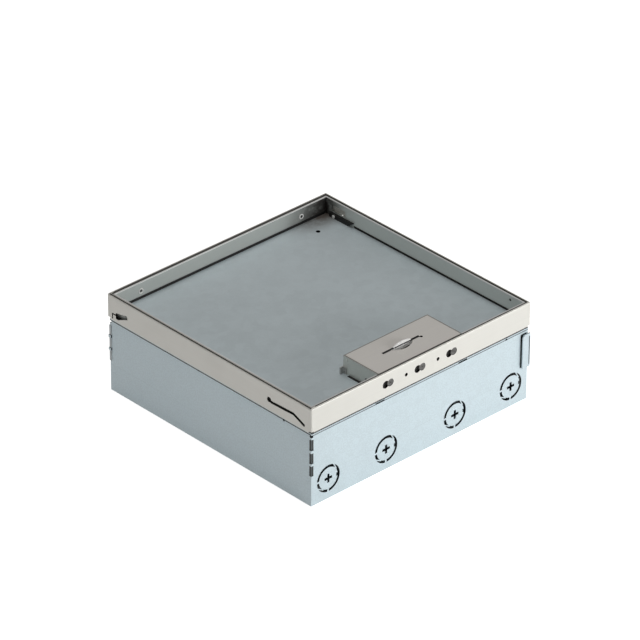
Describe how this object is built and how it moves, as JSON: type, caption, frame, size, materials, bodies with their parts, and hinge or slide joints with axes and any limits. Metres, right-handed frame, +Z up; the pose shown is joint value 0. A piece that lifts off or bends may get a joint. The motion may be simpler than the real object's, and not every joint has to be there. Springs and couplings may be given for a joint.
{
  "type": "floor socket box",
  "caption": "Square in-floor socket box: galvanised tub, stainless cover frame, hinged tile-tray lid with a swivel cable outlet and lift handle, sockets and data jacks inside",
  "frame": {"origin": "centre of the underside of the box's bounding box", "axes": "+Z up out of the floor, cable outlet on the -Y side, lid hinge on the +Y side"},
  "size_m": [0.2452, 0.2476, 0.0953],
  "materials": {
    "galvanised": "hot-dip galvanised sheet, pale blue-grey with a soft spangle",
    "stainless": "stainless sheet with a fine satin grain, slightly warm",
    "zinc_fasteners": "bright zinc plated",
    "dark_steel": "dark phosphated steel, satin",
    "black_rubber": "matt black soft rubber",
    "dark_plastic": "fine-textured dark grey plastic",
    "white_plastic": "smooth pure-white plastic",
    "brass": "plain brass"
  },
  "bodies": {
    "box": {"box_tub": "galvanised", "anchor_lugs": "galvanised", "corner_posts": "galvanised", "top_ring": "galvanised", "frame_gasket": "black_rubber", "cover_frame": "stainless", "frame_screws": "zinc_fasteners", "frame_nuts": "zinc_fasteners", "lid_seal": "black_rubber", "hinge_pins": "zinc_fasteners", "cable_edge_guard": "dark_plastic", "guard_studs": "zinc_fasteners", "mounting_support": "galvanised", "support_screws": "zinc_fasteners", "power_tray": "dark_plastic", "data_tray": "dark_plastic", "socket_bodies": "white_plastic", "contact_sleeves": "brass", "earth_clips": "brass", "data_modules": "white_plastic", "data_jacks": "dark_plastic", "blank_module": "white_plastic", "divider_plate": "galvanised", "earth_terminal": "zinc_fasteners", "earth_nut": "brass"},
    "lid": {"lid_rim": "stainless", "lid_plate": "galvanised", "lid_gap_seal": "black_rubber", "locator_brackets": "dark_steel", "locator_rivets": "zinc_fasteners", "outlet_collar": "galvanised", "outlet_seal": "black_rubber", "outlet_brackets": "galvanised", "outlet_rivets": "zinc_fasteners", "outlet_hinge_pin": "zinc_fasteners", "stay_lugs": "galvanised", "stay_rivets": "zinc_fasteners"},
    "flap": {"outlet_flap": "stainless", "finger_cup": "stainless"},
    "handle": {"lift_handle": "stainless"},
    "stay_right": {"stay_arm_right": "galvanised", "stay_pin_right": "zinc_fasteners"},
    "stay_left": {"stay_arm_left": "galvanised", "stay_pin_left": "zinc_fasteners"}
  },
  "joints": [
    {"name": "lid_hinge", "type": "hinge", "parent": "box", "child": "lid", "pos_m": [0, 0.1155, 0.089], "axis": [-1, 0, 0], "range_deg": [0, 90]},
    {"name": "flap_hinge", "type": "hinge", "parent": "lid", "child": "flap", "pos_m": [0, -0.0833, 0.089], "axis": [1, 0, 0], "range_deg": [0, 75]},
    {"name": "handle_slide", "type": "slide", "parent": "flap", "child": "handle", "axis": [0, 0, 1], "range_m": [0, 0.015]},
    {"name": "stay_right_pivot", "type": "hinge", "parent": "lid", "child": "stay_right", "pos_m": [0.11535, 0.0639, 0.0685], "axis": [1, 0, 0], "range_deg": [0, 112]},
    {"name": "stay_left_pivot", "type": "hinge", "parent": "lid", "child": "stay_left", "pos_m": [-0.11535, 0.0639, 0.0685], "axis": [1, 0, 0], "range_deg": [0, 112]}
  ],
  "couplings": [
    {"joint": "stay_right_pivot", "follows": "lid_hinge", "ratio": 1.241},
    {"joint": "stay_left_pivot", "follows": "lid_hinge", "ratio": 1.241}
  ]
}
